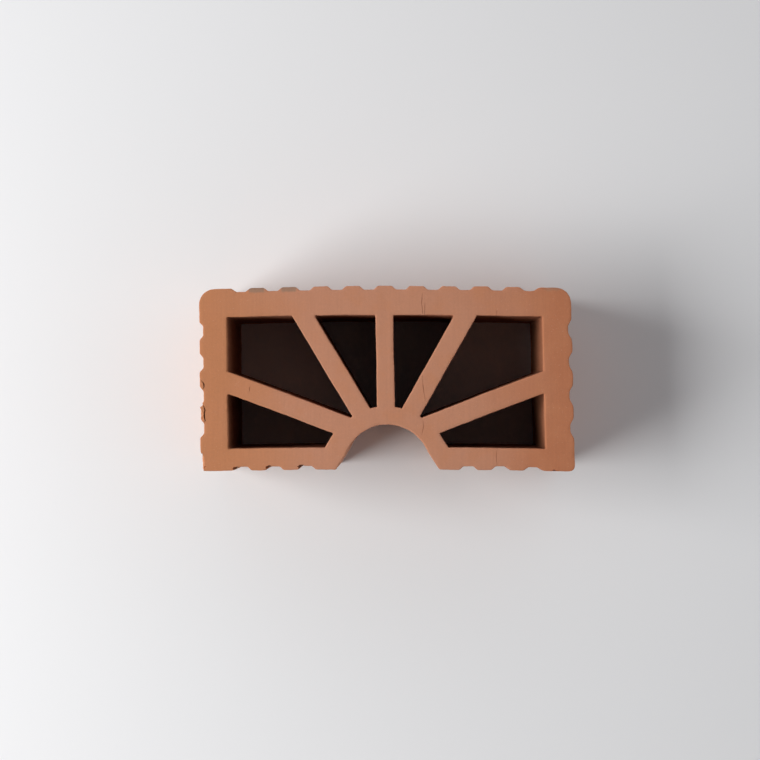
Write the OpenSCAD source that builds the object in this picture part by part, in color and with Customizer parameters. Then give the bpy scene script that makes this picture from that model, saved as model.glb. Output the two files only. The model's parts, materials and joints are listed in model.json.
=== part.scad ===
// Hollow clay brick, extruded through a die and cut to height with a wire.
// Millimetres. X runs along the brick, Y towards its plain back, Z up along the extrusion.
// The origin is the middle of the underside.

/* [Block] */
// Length over the lands of the two ends
length = 240; // [200:1:300]
// Width over the lands of the front and the back
width = 117; // [105:1:140]
// Height between the two cut faces
height = 90; // [40:1:240]
// Radius of the two upright corners at the back
back_corner_r = 9.5; // [2:0.5:12]
// Radius of the two upright corners at the front
front_corner_r = 3.5; // [1:0.5:8]

/* [Walls and webs] */
// Wall at each end, from the lands to the cells
end_wall = 18.4; // [12:0.1:26]
// Wall at the back, from the lands to the cells
back_wall = 18.5; // [12:0.1:26]
// Wall at the front, from the lands to the cells
front_wall = 14.1; // [9:0.1:18]
// Thickness of the web on the middle line
middle_web = 11.3; // [7:0.1:16]
// Thickness of each upper web
upper_web = 12.4; // [8:0.1:17]
// Angle of each upper web above the long axis
upper_web_angle = 59.6; // [54:0.1:66]
// Distance behind the front at which the upper webs would meet
upper_web_root = 9.2; // [4:0.1:14]
// Thickness of each lower web
lower_web = 13.2; // [8:0.1:17]
// Angle of each lower web above the long axis
lower_web_angle = 21.3; // [16:0.1:26]
// Distance behind the front at which the lower webs would meet
lower_web_root = 17; // [14:0.1:21]
// Radius in the corners of the cells
cell_r = 0.8; // [0.4:0.1:2]

/* [Notch] */
// Radius of the half round notch, which is centred on the front
notch_r = 28.5; // [24:0.1:30]
// Width of the flared mouth of the notch at the front
mouth_w = 66.2; // [64:0.1:76]
// Depth over which the mouth flares
mouth_depth = 10.5; // [6:0.1:14]
// Wall between the notch and the ends of the upper cells
hub_wall = 11.7; // [8:0.1:16]
// Wall between the flared mouth and the lower cells
flank_wall = 13; // [9:0.1:16]

/* [Keyed faces] */
// Spacing of the grooves on all four sides
groove_pitch = 20.7; // [17:0.1:26]
// Width of a groove where it opens
groove_mouth = 11.6; // [8:0.1:15]
// Width of a groove at its floor
groove_floor = 6.6; // [3:0.1:7.5]
// Depth of a groove below the lands
groove_depth = 2.4; // [1:0.1:4]
// Least land between a groove and a corner or the notch
edge_land = 6; // [3:0.5:8]

/* [Hidden] */
$fn = 96;
arc_steps = 6;
clay = [0.70, 0.48, 0.37];

// Inner faces of the walls
end_x = length / 2 - end_wall;
back_y = width / 2 - back_wall;
front_y = front_wall - width / 2;
along_x = [1, 0];
along_y = [0, 1];

// Notch and hub
front_mid = [0, -width / 2];
hub_r = notch_r + hub_wall;
mouth_half = mouth_w / 2;
throat_half = sqrt(pow(notch_r, 2) - pow(mouth_depth, 2));
throat = front_mid + [throat_half, mouth_depth];
flare = unit([mouth_half - throat_half, -mouth_depth]);
flank = throat + flank_wall * left_of(flare);
flare_over = 3;

// Webs of the right half, each as a direction and a point on its middle line
upper_dir = [cos(upper_web_angle), sin(upper_web_angle)];
upper_mid = front_mid + [0, upper_web_root];
upper_over = upper_mid + upper_web / 2 * left_of(upper_dir);
upper_under = upper_mid - upper_web / 2 * left_of(upper_dir);
lower_dir = [cos(lower_web_angle), sin(lower_web_angle)];
lower_mid = front_mid + [0, lower_web_root];
lower_over = lower_mid + lower_web / 2 * left_of(lower_dir);
lower_under = lower_mid - lower_web / 2 * left_of(lower_dir);

// Grooves of a long side and of an end
groove_over = 1;
groove_slope = (groove_mouth - groove_floor) / 2 / groove_depth;
long_grooves = groove_count(length);
end_grooves = groove_count(width);

function unit(v) = v / norm(v);
function left_of(v) = [-v[1], v[0]];

// Point where the line through p along u crosses the line through q along v
function crossing(p, u, q, v) = p + u * cross(q - p, v) / cross(u, v);

// Number of grooves that fit on a side of this span
function groove_count(span) =
    1 + floor((span - 2 * back_corner_r - 2 * edge_land - groove_mouth) / groove_pitch);

// Place of one groove along its side, counted from the middle
function groove_at(i, count) = (i - (count - 1) / 2) * groove_pitch;

// Points of a convex outline, listed anticlockwise, with an arc of radius r at each corner
function rounded(points, r) = [
    for (i = [0 : len(points) - 1])
        let (
            n = len(points),
            b = points[i],
            into = unit(b - points[(i + n - 1) % n]),
            out = unit(points[(i + 1) % n] - b),
            turn = atan2(cross(into, out), into * out),
            start = atan2(into[1], into[0]) - 90,
            centre = b - into * r * tan(turn / 2) + r * left_of(into)
        )
            for (k = [0 : arc_steps])
                let (a = start + turn * k / arc_steps)
                    centre + r * [cos(a), sin(a)]
];

// One keyed groove, opening upwards at y = 0
module groove() {
    outer = groove_mouth / 2 + groove_slope * groove_over;
    polygon([
        [-outer, groove_over],
        [-groove_floor / 2, -groove_depth],
        [groove_floor / 2, -groove_depth],
        [outer, groove_over]
    ]);
}

module back_grooves() {
    for (i = [0 : long_grooves - 1])
        translate([groove_at(i, long_grooves), width / 2]) groove();
}

// Grooves of the front stand opposite those of the back, clear of the notch
module front_grooves() {
    for (i = [0 : long_grooves - 1]) {
        x = groove_at(i, long_grooves);
        if (abs(x) - groove_mouth / 2 > mouth_half + edge_land)
            translate([x, -width / 2]) rotate(180) groove();
    }
}

module end_grooves_of(side) {
    for (i = [0 : end_grooves - 1])
        translate([side * length / 2, groove_at(i, end_grooves)]) rotate(-90 * side) groove();
}

// Block with its four upright corners rounded, before the grooves are cut
module block() {
    square([length - 2 * back_corner_r, width], center = true);
    translate([-length / 2, front_corner_r - width / 2])
        square([length, width - front_corner_r - back_corner_r]);
    for (side = [-1, 1]) {
        translate([side * (length / 2 - back_corner_r), width / 2 - back_corner_r])
            circle(r = back_corner_r);
        translate([side * (length / 2 - front_corner_r), front_corner_r - width / 2])
            circle(r = front_corner_r);
    }
    translate([front_corner_r - length / 2, -width / 2])
        square([length - 2 * front_corner_r, width / 2]);
}

module outline() {
    difference() {
        block();
        back_grooves();
        front_grooves();
        end_grooves_of(1);
        end_grooves_of(-1);
    }
}

// Half round notch with straight flares at its mouth, drawn past both ends of the flares
module notch() {
    inner = throat - flare * flare_over;
    outer = throat + flare * (mouth_depth + flare_over) * 2;
    translate(front_mid) circle(r = notch_r);
    polygon([inner, [-inner[0], inner[1]], [-outer[0], outer[1]], outer]);
}

// Cell between the middle web and the upper web
module middle_cell() {
    inner = [middle_web / 2, 0];
    points = [
        crossing(inner, along_y, upper_over, upper_dir),
        crossing([0, back_y], along_x, upper_over, upper_dir),
        [middle_web / 2, back_y]
    ];
    polygon(rounded(points, cell_r));
}

// Cell between the upper web and the lower web
module corner_cell() {
    points = [
        crossing(upper_under, upper_dir, lower_over, lower_dir),
        crossing([end_x, 0], along_y, lower_over, lower_dir),
        [end_x, back_y],
        crossing([0, back_y], along_x, upper_under, upper_dir)
    ];
    polygon(rounded(points, cell_r));
}

// Cell between the lower web and the front
module front_cell() {
    points = [
        crossing([0, front_y], along_x, flank, flare),
        [end_x, front_y],
        crossing([end_x, 0], along_y, lower_under, lower_dir),
        crossing(flank, flare, lower_under, lower_dir)
    ];
    polygon(rounded(points, cell_r));
}

module half_cells() {
    difference() {
        union() {
            middle_cell();
            corner_cell();
            front_cell();
        }
        translate(front_mid) circle(r = hub_r);
    }
}

module section() {
    difference() {
        outline();
        notch();
        half_cells();
        mirror([1, 0]) half_cells();
    }
}

module brick() {
    color(clay) linear_extrude(height) section();
}

brick();
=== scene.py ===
import json
import math
import random

import bmesh
import bpy
import numpy as np
from mathutils import Matrix, Vector, noise
from mathutils.geometry import delaunay_2d_cdt

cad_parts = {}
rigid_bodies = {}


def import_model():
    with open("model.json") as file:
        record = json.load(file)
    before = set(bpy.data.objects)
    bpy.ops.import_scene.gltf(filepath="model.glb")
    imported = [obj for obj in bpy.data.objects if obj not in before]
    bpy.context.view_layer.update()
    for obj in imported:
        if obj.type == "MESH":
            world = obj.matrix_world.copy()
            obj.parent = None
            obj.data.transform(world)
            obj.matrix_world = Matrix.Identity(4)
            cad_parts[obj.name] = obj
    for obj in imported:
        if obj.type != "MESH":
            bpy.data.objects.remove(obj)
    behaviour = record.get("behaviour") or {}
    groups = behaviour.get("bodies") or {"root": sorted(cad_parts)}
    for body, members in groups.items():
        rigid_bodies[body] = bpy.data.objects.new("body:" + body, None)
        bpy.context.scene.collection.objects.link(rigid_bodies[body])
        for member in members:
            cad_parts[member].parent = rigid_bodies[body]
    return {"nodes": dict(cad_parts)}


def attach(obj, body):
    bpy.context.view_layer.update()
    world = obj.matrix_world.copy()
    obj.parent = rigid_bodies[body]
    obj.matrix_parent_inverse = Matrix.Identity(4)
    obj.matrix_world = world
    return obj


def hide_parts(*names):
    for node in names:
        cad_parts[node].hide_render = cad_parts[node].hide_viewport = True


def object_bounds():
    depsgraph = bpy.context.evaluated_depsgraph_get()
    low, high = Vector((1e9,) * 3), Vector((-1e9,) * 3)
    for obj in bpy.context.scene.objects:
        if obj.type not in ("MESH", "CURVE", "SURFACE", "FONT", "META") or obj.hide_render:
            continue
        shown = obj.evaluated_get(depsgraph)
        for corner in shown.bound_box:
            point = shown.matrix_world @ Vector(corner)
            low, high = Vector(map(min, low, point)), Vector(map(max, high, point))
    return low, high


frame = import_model()
cad_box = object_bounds()

# Lengths of the clay body are in millimetres until its mesh is made; a point within FLAT of the top is on it
MM = 0.001
LOW = cad_box[0] / MM
HIGH = cad_box[1] / MM
HALF_LENGTH = (HIGH.x - LOW.x) / 2
TOP = HIGH.z
FLAT = 0.01

# Grain of the mesh; points of a cut face are jittered and kept off its rims by these shares of a step
OUTER_STEP = 0.8
CELL_STEP = 1.2
FACE_STEP = 1.5
FACE_JITTER = 0.25
FACE_CLEAR = 0.7
FACE_SEED = 5
SIDE_LEVELS = (3, 5, 8, 12, 18, 26, 36)
RIM_ANGLES = (0, 30, 60, 90)
SHARP_ANGLE = 38

# Wear of the rims where the wire cut the clay, with its unevenness as height and span
RIM_R = 0.6
RIM_LEAST = 0.25
RIM_WAVE = (0.22, 7)
RIM_NICK = (0.2, 2.2)

# Worn lands of the back as place, half width and share of the full wear; their tint, a greyer worn tone that
# is also darkened as painted shade, ends at the first of two depths and is full down to the second
WORN_LANDS = ((-73, 32, 1.0), (110, 11, 0.5))
WORN_LAND_R = 1.9
WORN_LAND_BAND = 1.2
WORN_LAND_EDGE = 2
WORN_LAND_GREY_AND_SHADE = (6.4, 2.4)

# Relief left by the die and by the wire, as height and span, and how far that of the cut faces reaches down
DIE_LINE = (0.10, 2.2)
DIE_WAVE = (0.16, 8)
LUMP = (0.22, 24)
FACE_WAVE = (0.22, 30)
FACE_RIPPLE = (0.05, 5)
FACE_REACH = 8
SEED_STEP = (3.7, 9.1, 5.3)

# Depth over which the walls of a cell take their painted shade, a darker tone that stands in for the shade
# deep in the cells
CELL_SHADE_DEPTH = 12

# Outline rubbed soft in the die: passes of smoothing all round, and more from SOFT_X to the right end
SOFT_PASSES = 1
SOFT_RIGHT_PASSES = 6
SOFT_X = (75, 105)

# The cores of the die stood a little to the left, spread and askew
CORE_SHIFT = -0.5
CORE_SPREAD = 0.0025
CORE_LEAN = -0.003

# Drying bent the block: shift and lean of its left and right ends, shift and bow of its front and back,
# where the bow of the back is given for its left half and its right half
LEFT_SHIFT = 0.75
LEFT_LEAN = -0.009
RIGHT_SHIFT = 0.2
RIGHT_LEAN = -0.022
FRONT_SHIFT = -0.1
FRONT_BOW = 1.3
BACK_SHIFT = 0.8
BACK_BOW = (2.4, 1.4)

# The lands in the middle of both ends crept towards the back, from END_X outwards
END_CREEP = 1.0
END_X = (107, 115)
END_MIDDLE = 18
END_HALF = 42

# Chips as centre, half sizes and how fresh they are, and their roughness as height and pitch
CHIPS = (
    ((-124.0, -22.5, 93.5), (8.6, 6.5, 10.0), 1.0),
    ((-121.4, -16.6, 88.0), (4.4, 2.6, 12.0), 0.6),
    ((-120.8, -27.0, 90.0), (3.4, 2.6, 5.0), 0.8),
    ((-120.4, -3.4, 91.5), (2.2, 1.6, 2.2), 0.5),
    ((108.2, -59.6, 90.4), (1.5, 1.1, 2.4), 0.5),
    ((-121.8, -58.5, 86.0), (4.8, 17.0, 16.0), 0.3),
    ((-95.8, -57.9, 89.0), (2.4, 1.3, 9.0), 0.0),
    ((-74.7, -57.3, 88.0), (2.2, 1.3, 13.0), 0.0),
    ((-53.9, -56.8, 89.5), (2.6, 1.3, 8.0), 0.0),
)
CHIP_ROUGHNESS = ((0.35, 1.6), (0.16, 4.5), (0.06, 11))
CHIP_SEED_STEP = 2.3
CHIP_DIVISIONS = 4

# Small chips between two places along the broken corner, set in and sized within these spans
CORNER_CHIPS = 12
CORNER_CHIP_X = (-117.3, -119.2)
CORNER_CHIP_Y = (-57.5, -44)
CORNER_CHIP_IN = (0.0, 0.9)
CORNER_CHIP_HALF = ((0.6, 1.2), (0.6, 1.3), (1.5, 5.0))
CORNER_SEED = 11

# Cracks and scratches as paths on the upper face, each kind with its width and depth
CRACK_SIZE = (0.8, 9)
CRACKS = (
    ((-118.4, -15.2), (-117.0, -17.6), (-116.0, -20.6), (-116.6, -23.8), (-115.8, -27.4), (-117.4, -29.6)),
    ((-118.6, -1.4), (-117.0, -3.2), (-116.4, -5.4), (-117.6, -7.4)),
)
SCRATCH_SIZE = (0.34, 0.5)
SCRATCH_SEED = 20
SCRATCHES = (
    ((23.6, 54.6), (23.3, 48.0), (23.9, 40.6)),
    ((25.4, 48.2), (25.2, 41.0)),
    ((23.6, 2.0), (24.2, -6.0), (25.6, -15.4)),
    ((23.8, -26.6), (24.6, -31.0), (23.2, -36.4)),
    ((71.6, 43.6), (71.4, 40.4)),
    ((71.4, -45.8), (71.0, -50.6), (71.5, -55.6)),
    ((-87.0, -5.0), (-87.3, -8.6)),
)

# Wedge that cuts a line: step along its path, rise above the face in depths, wander and spread in widths
LINE_STEP = 1.2
LINE_RISE = 2
LINE_WANDER = 0.2
LINE_SPREAD = (0.75, 1.25)

# Light, in metres and watts: a window at the left and a dim room that is lighter across from it
WINDOW_SIZE = (1.54, 1.22)
WINDOW_AT = (-1.59, -0.2, 1.18)
WINDOW_AIM = (0, 0, 0.05)
WINDOW_WATTS = 51.0
WINDOW_COLOUR = (1.0, 0.985, 0.97)
ROOM_LEVEL = 0.6
ROOM_OVERHEAD = 0.045
ROOM_FADE = (0.3, 0.78)
ROOM_ACROSS = (0.2, 2.4)
ROOM_BRIGHT_SIDE = (0.8, 0.6)
ROOM_COLOUR = (0.98, 0.98, 1.0, 1)
BACKDROP_LEVEL = 0.8

# Floor, in metres
FLOOR_HALF = 4.0
FLOOR_FADE = (0.34, 0.75)
FLOOR_COLOUR = (0.785, 0.795, 0.812, 1)
FLOOR_ROUGHNESS = 0.9
FLOOR_SHINE = 0.2

# Tones of the clay; the inner tone is painted shade for the depths of the cells, and the worn tone is greyer
# clay darkened as painted shade
MIDDLE_CLAY = (0.475, 0.216, 0.129, 1)
LEFT_CLAY = (0.46, 0.187, 0.085, 1)
RIGHT_CLAY = (0.438, 0.164, 0.079, 1)
MOTTLE_CLAY = (0.455, 0.185, 0.09, 1)
FRESH_CLAY = (0.64, 0.33, 0.235, 1)
# Greyer tone of worn lands, darkened as painted shade for their rounded edges turned from the light
WORN_GREY_AND_SHADE_CLAY = (0.30, 0.175, 0.115, 1)
# Painted shade that darkens the walls deep in the cells
PAINTED_CELL_SHADE = (0.25, 0.092, 0.044, 1)
DARK_SAND = (0.26, 0.11, 0.065, 1)
PALE_SAND = (0.60, 0.36, 0.25, 1)

# Noise of the clay as scale in a metre and detail; the drag of wire and die has a scale along each axis
PATCH_NOISE = (16, 2)
MOTTLE_NOISE = (75, 4)
FINE_NOISE = (620, 3)
GRAIN_NOISE = (2400, 2)
DARK_SAND_NOISE = (1500, 1)
PALE_SAND_NOISE = (1150, 1)
DRAG_NOISE = (1, 3)
WIRE_STRETCH = (700, 14, 700)
DIE_STRETCH = (520, 520, 9)
NOISE_ROUGHNESS = 0.55

# Ranges of the clay's tones: the span that is read and the share that it becomes
LEFT_REACH = (0.0, -0.07, 0, 1)
RIGHT_REACH = (0.08, 0.15, 0, 1)
PATCH_DRIFT = 0.08
CUT_FACE_SHARE = (0.6, 0.9, 0, 1)
DIE_SHARE = (0.3, 0.7, 0.2, 0.8)
MOTTLE_SHARE = (0.45, 0.7, 0, 0.4)
FRESH_SHARE = (0, 1, 0, 0.9)
WORN_GREY_AND_SHADE_SHARE = (0, 1, 0, 0.9)
PAINTED_CELL_SHADE_SHARE = (0, 1, 0, 1)
SHADE_RANGE = (0.12, 0.40, 0.9, 1.1)
DARK_SAND_SHARE = (0.68, 0.76, 0, 0.35)
PALE_SAND_SHARE = (0.69, 0.77, 0, 0.3)
CLAY_ROUGHNESS = (0.3, 0.7, 0.82, 0.95)
CLAY_SHINE = 0.3

# Weights of fine noise, drag, grain and mottle in the shade, and of the first three in the bumps
SHADE_WEIGHTS = (0.16, 0.12, 0.14, 0.1)
BUMP_WEIGHTS = (0.7, 0.5, 0.4)
BUMP_STRENGTH = 0.5
BUMP_HEIGHT = 0.25

# Camera, in millimetres above and along the upper face
SENSOR = 36
FACE_SPAN = 487.5
EYE_HEIGHT = 960
EYE_AT = (8.0, -11.5)
TARGET_AT = (-3.5, -1.2)

# Kind of triangulation that keeps what the edges enclose, and how near two points count as one
ENCLOSED = 1
SAME_POINT = 1e-6

# Names of the values that each point of the body is told
POINT_VALUES = ("points", "normals", "side", "inner", "worn")

# Sockets of a mix node for its share and its two colours, and its output of the mixed colour
MIX_INPUTS = (0, 6, 7)
MIX_OUTPUT = 2


def section_loops(node):
    """Closed loops of the node's upper face, in millimetres, with the clay on the left of each."""
    mesh = node.data
    co = np.empty(len(mesh.vertices) * 3)
    mesh.vertices.foreach_get("co", co)
    co = co.reshape(-1, 3) / MM
    flat, same = np.unique(np.round(co[:, :2], 3), axis=0, return_inverse=True)
    upper = co[:, 2] > TOP - FLAT
    edges = set()
    for face in mesh.polygons:
        corners = list(face.vertices)
        if all(upper[v] for v in corners):
            ids = [int(same[v]) for v in corners]
            edges.update(zip(ids, ids[1:] + ids[:1]))
    ahead = {a: b for a, b in edges if (b, a) not in edges}
    loops = []
    while ahead:
        first, here = ahead.popitem()
        loop = [first]
        while here != first:
            loop.append(here)
            here = ahead.pop(here)
        loops.append(flat[loop])
    return sorted(loops, key=lambda points: -np.ptp(points[:, 0]))


def between(a, b, share):
    """The value at that share of the way from a to b."""
    return a + (b - a) * share


def ramp(value, start, end):
    """Nothing at the start, one at the end, with a straight rise between them."""
    return np.clip((value - start) / (end - start), 0, 1)


def bump_curve(x, middle, half):
    """One at the middle, falling smoothly to nothing at half a width away."""
    t = np.clip(1 - np.abs(x - middle) / half, 0, 1)
    return t * t * (3 - 2 * t)


def resampled(loop, step):
    """The loop with its long sides divided into pieces of about one step."""
    pieces = []
    for a, b in zip(loop, np.roll(loop, -1, axis=0)):
        count = max(1, round(np.linalg.norm(b - a) / step))
        pieces.append(a + np.arange(count)[:, None] / count * (b - a))
    return np.concatenate(pieces)


def softened(loop, passes, share):
    """The loop with its corners rubbed down, by that share at each point."""
    for _ in range(passes):
        middle = (np.roll(loop, 1, axis=0) + np.roll(loop, -1, axis=0)) / 2
        loop = between(loop, middle, share[:, None] / 2)
    return loop


def shaped_loops(node):
    """Finely divided loops of the section: first the outline, rubbed soft, then the cells, off centre."""
    outline, *cells = section_loops(node)
    outline = resampled(outline, OUTER_STEP)
    outline = softened(outline, SOFT_PASSES, np.ones(len(outline)))
    loops = [softened(outline, SOFT_RIGHT_PASSES, ramp(outline[:, 0], *SOFT_X))]
    for cell in cells:
        fine = resampled(cell, CELL_STEP)
        fine[:, 0] += CORE_SHIFT + CORE_SPREAD * fine[:, 0] + CORE_LEAN * fine[:, 1]
        loops.append(fine)
    return loops


def outward(loop):
    """Unit normals of the loop, pointing out of the clay."""
    ahead = np.roll(loop, -1, axis=0) - loop
    ahead /= np.linalg.norm(ahead, axis=1)[:, None]
    along = ahead + np.roll(ahead, 1, axis=0)
    along /= np.linalg.norm(along, axis=1)[:, None]
    return np.stack([along[:, 1], -along[:, 0]], axis=1)


def relief(points, wave, seed):
    """Smooth noise at the points, with the height and the span of the wave."""
    height, span = wave
    full = np.zeros((len(points), 3))
    full[:, : points.shape[1]] = points / span
    full += seed * np.array(SEED_STEP)
    return height * np.array([noise.noise(Vector(p)) for p in full])


def rim_radius(loop):
    """Radius of the rim at each point of a loop."""
    r = RIM_R + relief(loop, RIM_WAVE, 1) + relief(loop, RIM_NICK, 2)
    return np.maximum(r, RIM_LEAST)


def worn_share(loop):
    """How far the rim is worn away at each point of a loop: nothing but on a few lands of the back."""
    back = ramp(loop[:, 1], HIGH.y - WORN_LAND_BAND, HIGH.y)
    worn = []
    for middle, half, share in WORN_LANDS:
        land = np.clip(WORN_LAND_EDGE * bump_curve(loop[:, 0], middle, half), 0, 1)
        worn.append(share * land)
    return back * np.max(worn, axis=0)


def side_rings(loop):
    """Rings of points down one wall from the upper rim to the lower one, and the wall's normals."""
    normals = outward(loop)
    r = rim_radius(loop)
    worn = WORN_LAND_R * worn_share(loop)
    wear = normals * r[:, None] + np.column_stack([np.zeros(len(loop)), worn])
    upper = []
    for angle in RIM_ANGLES:
        a = math.radians(angle)
        upper.append((loop - wear * (1 - math.sin(a)), (r + worn) * (1 - math.cos(a))))
    upper += [(loop, np.full(len(loop), float(level))) for level in SIDE_LEVELS]
    rings = [np.column_stack([flat, TOP - drop]) for flat, drop in upper]
    rings.append(np.column_stack([loop, np.full(len(loop), TOP / 2)]))
    rings += [np.column_stack([flat, drop]) for flat, drop in reversed(upper)]
    return rings, normals


def inside(points, loops):
    """Which points lie in the clay, by counting the crossings of a ray."""
    crossed = np.zeros(len(points), int)
    for loop in loops:
        for a, b in zip(loop, np.roll(loop, -1, axis=0)):
            if a[1] != b[1]:
                spans = (a[1] > points[:, 1]) != (b[1] > points[:, 1])
                at = a[0] + (points[:, 1] - a[1]) * (b[0] - a[0]) / (b[1] - a[1])
                crossed += spans & (points[:, 0] < at)
    return crossed % 2 == 1


def face_points(loops, rims):
    """Jittered grid of points on a cut face, clear of its rims."""
    rng = np.random.default_rng(FACE_SEED)
    row = FACE_STEP * math.sqrt(3) / 2
    ys = np.arange(LOW.y, HIGH.y, row)
    xs = np.arange(LOW.x, HIGH.x, FACE_STEP)
    grid = np.array([(x + (k % 2) * FACE_STEP / 2, y) for k, y in enumerate(ys) for x in xs])
    grid += rng.uniform(-FACE_JITTER, FACE_JITTER, grid.shape) * FACE_STEP
    grid = grid[inside(grid, loops)]
    near = np.full(len(grid), np.inf)
    for points in rims:
        for p in points:
            near = np.minimum(near, ((grid - p) ** 2).sum(axis=1))
    return grid[near > (FACE_CLEAR * FACE_STEP) ** 2]


def filled_face(rims, grid):
    """Triangles that fill a cut face between its rims, over the rims' points and then the grid's."""
    points = np.concatenate([*rims, grid])
    edges = []
    start = 0
    for rim in rims:
        ids = np.arange(start, start + len(rim))
        edges += list(zip(ids.tolist(), np.roll(ids, -1).tolist()))
        start += len(rim)
    made = delaunay_2d_cdt([Vector(p) for p in points], edges, [], ENCLOSED, SAME_POINT)
    source = [owners[0] for owners in made[3]]
    faces = np.array([[source[v] for v in face] for face in made[2]])
    return faces[inside(points[faces].mean(axis=1), rims)]


def bend(flat):
    """Shift of each point in plan by the bend of drying."""
    right = (flat[:, 0] - LOW.x) / (HIGH.x - LOW.x)
    back = (flat[:, 1] - LOW.y) / (HIGH.y - LOW.y)
    along = between(LEFT_SHIFT, RIGHT_SHIFT, right) + between(LEFT_LEAN, RIGHT_LEAN, right) * flat[:, 1]
    bow = between(FRONT_BOW, between(*BACK_BOW, right), back) * (flat[:, 0] / HALF_LENGTH) ** 2
    end = ramp(np.abs(flat[:, 0]), *END_X)
    creep = END_CREEP * end * bump_curve(flat[:, 1], END_MIDDLE, END_HALF)
    across = between(FRONT_SHIFT, BACK_SHIFT, back) - bow + creep
    return np.column_stack([along, across])


def weathered(points, normals, side):
    """Relief of the die on the walls and of the wire on the cut faces, and the bend of drying."""
    flat = points[:, :2]
    push = relief(flat, DIE_LINE, 3) + relief(flat, DIE_WAVE, 4) + relief(points, LUMP, 5)
    out = points.copy()
    out[:, :2] += normals * (push * side)[:, None]
    wave = relief(flat, FACE_WAVE, 6) + relief(flat, FACE_RIPPLE, 7)
    upper = ramp(points[:, 2], TOP - FACE_REACH, TOP)
    lower = ramp(points[:, 2], FACE_REACH, 0)
    out[:, 2] += wave * upper + np.abs(wave) * lower
    out[:, :2] += bend(flat)
    return out


def told(mesh, name, values):
    """Gives every point of the mesh a value that the material reads by that name."""
    layer = mesh.attributes.new(name, "FLOAT", "POINT")
    layer.data.foreach_set("value", values)


def depth_inside(z):
    """How far inside a cell each point is, counted in the depth of the cells' painted shade from the nearer
    rim.
    """
    return np.maximum(np.minimum(z, TOP - z), 0) / CELL_SHADE_DEPTH


def add_points(body, *values):
    """Adds points to the body with the values they are told, and gives their numbers."""
    start = sum(len(points) for points in body["points"])
    for name, value in zip(POINT_VALUES, values):
        body[name].append(value)
    return start + np.arange(len(values[0]))


def add_wall(body, loop, is_cell):
    """Adds one wall to the body, ring by ring, and gives the rings' point numbers and the upper rim."""
    rings, normals = side_rings(loop)
    share = worn_share(loop)
    ids = []
    for k, ring in enumerate(rings):
        side = np.full(len(ring), float(0 < k < len(rings) - 1))
        # Painted shade on the walls of the cells, full from one depth below either rim
        inner = depth_inside(ring[:, 2]) * is_cell
        # Tint of the worn lands: greyer worn clay, partly painted shade
        worn = share * ramp(TOP - ring[:, 2], *WORN_LAND_GREY_AND_SHADE)
        ids.append(add_points(body, ring, normals, side, inner, worn))
    for a, b in zip(ids, ids[1:]):
        body["faces"] += np.column_stack([b, np.roll(b, -1), np.roll(a, -1), a]).tolist()
    return ids, rings[0][:, :2]


def add_cut_face(body, grid, triangles, rim_ids, z):
    """Adds the upper or the lower cut face to the body, facing out."""
    none = np.zeros(len(grid))
    at = np.column_stack([grid, np.full(len(grid), z)])
    grid_ids = add_points(body, at, np.zeros((len(grid), 2)), none, none, none)
    ids = np.concatenate([*rim_ids, grid_ids])
    turned = triangles if z > 0 else triangles[:, ::-1]
    body["faces"] += ids[turned].tolist()


def clay_mesh(node):
    """The brick's body: walls of rings between two filled cut faces, with worn rims and relief."""
    loops = shaped_loops(node)
    body = {name: [] for name in (*POINT_VALUES, "faces")}
    walls = [add_wall(body, loop, float(i > 0)) for i, loop in enumerate(loops)]
    rims = [rim for _, rim in walls]
    grid = face_points(loops, rims)
    triangles = filled_face(rims, grid)
    add_cut_face(body, grid, triangles, [ids[0] for ids, _ in walls], TOP)
    add_cut_face(body, grid, triangles, [ids[-1] for ids, _ in walls], 0.0)
    points, normals, side, inner, worn = (np.concatenate(body[name]) for name in POINT_VALUES)
    mesh = bpy.data.meshes.new("brick_body")
    mesh.from_pydata((weathered(points, normals, side) * MM).tolist(), [], body["faces"])
    mesh.validate()
    # Share of painted shade in the cells, and of greyer worn tone with painted shade on the back lands
    told(mesh, "inner", inner)
    told(mesh, "worn", worn)
    told(mesh, "fresh", np.zeros(len(points)))
    return mesh


def chip_cutter(centre, half, fresh, seed):
    """A rough lump that breaks a chip out of a rim and leaves a face that fresh."""
    bm = bmesh.new()
    bmesh.ops.create_icosphere(bm, subdivisions=CHIP_DIVISIONS, radius=1)
    for v in bm.verts:
        swell = 1
        for axis, (height, pitch) in enumerate(CHIP_ROUGHNESS):
            shift = Vector((0, 0, 0))
            shift[axis] = seed
            swell += height * noise.noise(v.co * pitch + shift)
        v.co = Vector(c + h * swell * p for c, h, p in zip(centre, half, v.co)) * MM
    mesh = bpy.data.meshes.new("chip")
    bm.to_mesh(mesh)
    bm.free()
    told(mesh, "fresh", np.full(len(mesh.vertices), fresh))
    return mesh


def divided(path):
    """The path with points about one step apart."""
    points = []
    for a, b in zip(path, path[1:]):
        count = max(1, round(math.dist(a, b) / LINE_STEP))
        points += [[between(p, q, k / count) for p, q in zip(a, b)] for k in range(count)]
    return points + [path[-1]]


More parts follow.
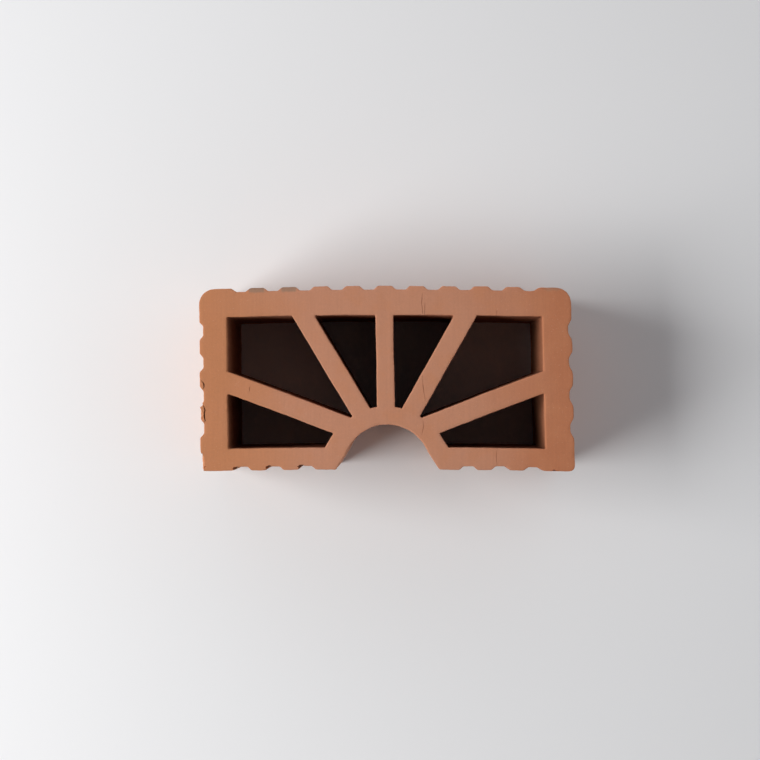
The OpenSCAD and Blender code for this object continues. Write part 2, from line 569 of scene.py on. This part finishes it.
def line_cutter(path, size, seed):
    """A narrow wedge that cuts a crack or a scratch along a path on the upper face."""
    width, depth = size
    rng = random.Random(seed)
    steps = divided(path)
    upper = TOP + LINE_RISE * depth
    bm = bmesh.new()
    rings = []
    for k, (x, y) in enumerate(steps):
        x += rng.uniform(-LINE_WANDER, LINE_WANDER) * width
        taper = math.sqrt(math.sin(math.pi * (k + 0.5) / len(steps)))
        half = width / 2 * taper * rng.uniform(*LINE_SPREAD)
        flare = (1 + LINE_RISE) * half
        corners = ((x - flare, upper), (x, TOP - depth * taper), (x + flare, upper))
        rings.append([bm.verts.new((cx * MM, y * MM, cz * MM)) for cx, cz in corners])
    for a, b in zip(rings, rings[1:]):
        for i in range(3):
            j = (i + 1) % 3
            bm.faces.new((a[i], a[j], b[j], b[i]))
    bm.faces.new(rings[0][::-1])
    bm.faces.new(rings[-1])
    bmesh.ops.recalc_face_normals(bm, faces=bm.faces)
    mesh = bpy.data.meshes.new("line")
    bm.to_mesh(mesh)
    bm.free()
    told(mesh, "fresh", np.zeros(len(mesh.vertices)))
    return mesh


def corner_chips():
    """Small chips along the rim of the broken front corner at the left end."""
    rng = random.Random(CORNER_SEED)
    chips = []
    for _ in range(CORNER_CHIPS):
        share = rng.random()
        x = between(*CORNER_CHIP_X, share) + rng.uniform(*CORNER_CHIP_IN)
        half = [rng.uniform(*span) for span in CORNER_CHIP_HALF]
        chips.append(((x, between(*CORNER_CHIP_Y, share), TOP), half, 0.0))
    return chips


def drop_crumbs(mesh):
    """Deletes the crumbs that the cutting left loose beside the body."""
    bm = bmesh.new()
    bm.from_mesh(mesh)
    left = set(bm.verts)
    islands = []
    while left:
        island = [left.pop()]
        for vert in island:
            beside = left.intersection(edge.other_vert(vert) for edge in vert.link_edges)
            left -= beside
            island += beside
        islands.append(island)
    islands.sort(key=len)
    crumbs = [vert for island in islands[:-1] for vert in island]
    bmesh.ops.delete(bm, geom=crumbs, context="VERTS")
    bm.to_mesh(mesh)
    bm.free()


def broken(body):
    """The body with its chips, cracks and scratches cut out."""
    cutters = bpy.data.collections.new("cutters")
    bpy.context.scene.collection.children.link(cutters)
    chips = (*CHIPS, *corner_chips())
    meshes = [chip_cutter(*chip, CHIP_SEED_STEP * k) for k, chip in enumerate(chips)]
    meshes += [line_cutter(path, CRACK_SIZE, k) for k, path in enumerate(CRACKS)]
    meshes += [line_cutter(path, SCRATCH_SIZE, SCRATCH_SEED + k) for k, path in enumerate(SCRATCHES)]
    for mesh in meshes:
        cutters.objects.link(bpy.data.objects.new("cutter", mesh))
    cut = body.modifiers.new("damage", "BOOLEAN")
    cut.operation = "DIFFERENCE"
    cut.operand_type = "COLLECTION"
    cut.collection = cutters
    cut.solver = "EXACT"
    graph = bpy.context.evaluated_depsgraph_get()
    body.data = bpy.data.meshes.new_from_object(body.evaluated_get(graph))
    body.modifiers.clear()
    drop_crumbs(body.data)
    for cutter in list(cutters.objects):
        bpy.data.objects.remove(cutter)
    bpy.data.collections.remove(cutters)


def new_node(tree, kind, **values):
    """A node with values given to its sockets, whose names are written with underscores."""
    made = tree.nodes.new(kind)
    for name, value in values.items():
        made.inputs[name.replace("_", " ")].default_value = value
    return made


def noise_at(tree, vector, size, stretch=None):
    """Noise texture of that scale and detail on the object's own coordinates, which are in metres."""
    if stretch:
        shaped = new_node(tree, "ShaderNodeMapping", Scale=stretch)
        tree.links.new(vector, shaped.inputs["Vector"])
        vector = shaped.outputs["Vector"]
    scale, detail = size
    made = new_node(tree, "ShaderNodeTexNoise", Scale=scale, Detail=detail, Roughness=NOISE_ROUGHNESS)
    tree.links.new(vector, made.inputs["Vector"])
    return made.outputs["Fac"]


def ranged(tree, value, low, high, to_low, to_high):
    """The value between low and high mapped smoothly to another range."""
    made = new_node(tree, "ShaderNodeMapRange", From_Min=low, From_Max=high, To_Min=to_low, To_Max=to_high)
    made.interpolation_type = "SMOOTHSTEP"
    tree.links.new(value, made.inputs["Value"])
    return made.outputs["Result"]


def mixed(tree, share, a, b, blend="MIX"):
    """Mix of two colours, each a colour or a socket."""
    made = tree.nodes.new("ShaderNodeMix")
    made.data_type = "RGBA"
    made.blend_type = blend
    for number, value in zip(MIX_INPUTS, (share, a, b)):
        if isinstance(value, bpy.types.NodeSocket):
            tree.links.new(value, made.inputs[number])
        else:
            made.inputs[number].default_value = value
    return made.outputs[MIX_OUTPUT]


def sum_of(tree, sockets, weights):
    """Weighted sum of sockets."""
    total = None
    for socket, weight in zip(sockets, weights):
        made = tree.nodes.new("ShaderNodeMath")
        made.operation = "MULTIPLY_ADD"
        made.inputs[1].default_value = weight
        tree.links.new(socket, made.inputs[0])
        if total:
            tree.links.new(total, made.inputs[2])
        else:
            made.inputs[2].default_value = 0
        total = made.outputs["Value"]
    return total


def size_of(tree, value):
    """The value without its sign."""
    made = tree.nodes.new("ShaderNodeMath")
    made.operation = "ABSOLUTE"
    tree.links.new(value, made.inputs[0])
    return made.outputs["Value"]


def parts_of(tree, vector):
    """The three parts of a vector."""
    made = tree.nodes.new("ShaderNodeSeparateXYZ")
    tree.links.new(vector, made.inputs["Vector"])
    return made.outputs


def told_value(tree, name):
    """The value that the mesh's points were told by that name."""
    made = tree.nodes.new("ShaderNodeAttribute")
    made.attribute_name = name
    return made.outputs["Fac"]


def clay_tone(tree, at, patches, mottle):
    """Tone of the clay by its place, its mottle and what its points were told, with painted shade deep in
    the cells and on the worn lands of the back.
    """
    along = sum_of(tree, (parts_of(tree, at)["X"], patches), (1, PATCH_DRIFT))
    tone = mixed(tree, ranged(tree, along, *LEFT_REACH), MIDDLE_CLAY, LEFT_CLAY)
    tone = mixed(tree, ranged(tree, along, *RIGHT_REACH), tone, RIGHT_CLAY)
    tone = mixed(tree, ranged(tree, mottle, *MOTTLE_SHARE), tone, MOTTLE_CLAY)
    tone = mixed(tree, ranged(tree, told_value(tree, "fresh"), *FRESH_SHARE), tone, FRESH_CLAY)
    # Worn lands: greyer clay and painted shade
    tone = mixed(tree, ranged(tree, told_value(tree, "worn"), *WORN_GREY_AND_SHADE_SHARE), tone, WORN_GREY_AND_SHADE_CLAY)
    # Painted shade deep in the cells
    return mixed(tree, ranged(tree, told_value(tree, "inner"), *PAINTED_CELL_SHADE_SHARE), tone, PAINTED_CELL_SHADE)


def sanded(tree, tone, at):
    """The tone with dark and pale grains of sand."""
    dark = ranged(tree, noise_at(tree, at, DARK_SAND_NOISE), *DARK_SAND_SHARE)
    pale = ranged(tree, noise_at(tree, at, PALE_SAND_NOISE), *PALE_SAND_SHARE)
    return mixed(tree, pale, mixed(tree, dark, tone, DARK_SAND), PALE_SAND)


def clay_material():
    """Unglazed fired clay: mottled tone, sand grains, and the drag of the die and of the wire."""
    material = bpy.data.materials.new("fired_clay")
    material.use_nodes = True
    tree = material.node_tree
    shader = tree.nodes["Principled BSDF"]
    at = tree.nodes.new("ShaderNodeTexCoord").outputs["Object"]
    normal = tree.nodes.new("ShaderNodeNewGeometry").outputs["Normal"]
    on_cut = ranged(tree, size_of(tree, parts_of(tree, normal)["Z"]), *CUT_FACE_SHARE)

    patches = noise_at(tree, at, PATCH_NOISE)
    mottle = noise_at(tree, at, MOTTLE_NOISE)
    fine = noise_at(tree, at, FINE_NOISE)
    grain = noise_at(tree, at, GRAIN_NOISE)
    wire = noise_at(tree, at, DRAG_NOISE, WIRE_STRETCH)
    die = ranged(tree, noise_at(tree, at, DRAG_NOISE, DIE_STRETCH), *DIE_SHARE)
    drag = mixed(tree, on_cut, die, wire)

    tone = clay_tone(tree, at, patches, mottle)
    shade = sum_of(tree, (fine, drag, grain, mottle), SHADE_WEIGHTS)
    tone = mixed(tree, 1.0, tone, ranged(tree, shade, *SHADE_RANGE), "MULTIPLY")
    tree.links.new(sanded(tree, tone, at), shader.inputs["Base Color"])

    tree.links.new(ranged(tree, fine, *CLAY_ROUGHNESS), shader.inputs["Roughness"])
    shader.inputs["Specular IOR Level"].default_value = CLAY_SHINE
    bump = new_node(tree, "ShaderNodeBump", Strength=BUMP_STRENGTH, Distance=BUMP_HEIGHT * MM)
    tree.links.new(sum_of(tree, (fine, drag, grain), BUMP_WEIGHTS), bump.inputs["Height"])
    tree.links.new(bump.outputs["Normal"], shader.inputs["Normal"])
    return material


def brick():
    """The brick's body in place of the plain solid."""
    body = bpy.data.objects.new("brick_body", clay_mesh(frame["nodes"]["brick"]))
    bpy.context.scene.collection.objects.link(body)
    broken(body)
    body.data.shade_smooth()
    body.data.set_sharp_from_angle(angle=math.radians(SHARP_ANGLE))
    body.data.materials.clear()
    body.data.materials.append(clay_material())
    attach(body, "root")
    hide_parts("brick")


def floor_material():
    """Plain pale floor, which the camera sees pass into the backdrop far from the brick."""
    material = bpy.data.materials.new("floor")
    material.use_nodes = True
    tree = material.node_tree
    shader = tree.nodes["Principled BSDF"]
    shader.inputs["Base Color"].default_value = FLOOR_COLOUR
    shader.inputs["Roughness"].default_value = FLOOR_ROUGHNESS
    shader.inputs["Specular IOR Level"].default_value = FLOOR_SHINE
    backdrop = new_node(tree, "ShaderNodeEmission", Color=ROOM_COLOUR, Strength=BACKDROP_LEVEL)
    away = tree.nodes.new("ShaderNodeVectorMath")
    away.operation = "LENGTH"
    tree.links.new(tree.nodes.new("ShaderNodeTexCoord").outputs["Object"], away.inputs[0])
    seen = tree.nodes.new("ShaderNodeLightPath").outputs["Is Camera Ray"]
    far = ranged(tree, away.outputs["Value"], *FLOOR_FADE, 0, 1)
    surface = tree.nodes.new("ShaderNodeMixShader")
    tree.links.new(mixed(tree, seen, (0, 0, 0, 1), far), surface.inputs[0])
    tree.links.new(shader.outputs["BSDF"], surface.inputs[1])
    tree.links.new(backdrop.outputs["Emission"], surface.inputs[2])
    tree.links.new(surface.outputs["Shader"], tree.nodes["Material Output"].inputs["Surface"])
    return material


def floor():
    """Wide square floor under the brick."""
    corners = [(x * FLOOR_HALF, y * FLOOR_HALF, 0) for x, y in ((-1, -1), (1, -1), (1, 1), (-1, 1))]
    mesh = bpy.data.meshes.new("floor")
    mesh.from_pydata(corners, [], [(0, 1, 2, 3)])
    mesh.materials.append(floor_material())
    made = bpy.data.objects.new("floor", mesh)
    bpy.context.scene.collection.objects.link(made)


def aim(made, eye, target, up):
    """Puts a lamp or a camera at the eye, looking at the target."""
    ahead = (Vector(target) - Vector(eye)).normalized()
    right = ahead.cross(Vector(up)).normalized()
    made.location = eye
    made.rotation_euler = Matrix((right, right.cross(ahead), -ahead)).transposed().to_euler()


def window_light():
    """Large soft lamp high at the left, a little to the front."""
    lamp = bpy.data.lights.new("window", "AREA")
    lamp.shape = "RECTANGLE"
    lamp.size, lamp.size_y = WINDOW_SIZE
    lamp.energy = WINDOW_WATTS
    lamp.color = WINDOW_COLOUR
    made = bpy.data.objects.new("window", lamp)
    bpy.context.scene.collection.objects.link(made)
    aim(made, WINDOW_AT, WINDOW_AIM, (0, 0, 1))


def room_light():
    """Dim room, lighter across from the window and dark overhead."""
    world = bpy.data.worlds.new("room")
    bpy.context.scene.world = world
    world.use_nodes = True
    tree = world.node_tree
    shader = tree.nodes["Background"]
    toward = parts_of(tree, tree.nodes.new("ShaderNodeTexCoord").outputs["Generated"])
    height = ranged(tree, toward["Z"], *ROOM_FADE, ROOM_LEVEL, ROOM_OVERHEAD)
    side = sum_of(tree, (toward["X"], toward["Y"]), ROOM_BRIGHT_SIDE)
    across = ranged(tree, side, -1, 1, *ROOM_ACROSS)
    level = mixed(tree, 1.0, height, across, "MULTIPLY")
    seen = tree.nodes.new("ShaderNodeLightPath").outputs["Is Camera Ray"]
    backdrop = (BACKDROP_LEVEL, BACKDROP_LEVEL, BACKDROP_LEVEL, 1)
    tree.links.new(mixed(tree, seen, level, backdrop), shader.inputs["Strength"])
    shader.inputs["Color"].default_value = ROOM_COLOUR


def camera():
    """Almost straight down on the upper face, as the photograph was taken."""
    eye = Vector((*EYE_AT, TOP + EYE_HEIGHT))
    target = Vector((*TARGET_AT, TOP))
    data = bpy.data.cameras.new("camera")
    data.sensor_width = SENSOR
    data.lens = SENSOR * EYE_HEIGHT / FACE_SPAN
    made = bpy.data.objects.new("camera", data)
    bpy.context.scene.collection.objects.link(made)
    aim(made, eye * MM, target * MM, (0, 1, 0))
    bpy.context.scene.camera = made


brick()
floor()
window_light()
room_light()
camera()
bpy.context.scene.view_settings.view_transform = "Standard"
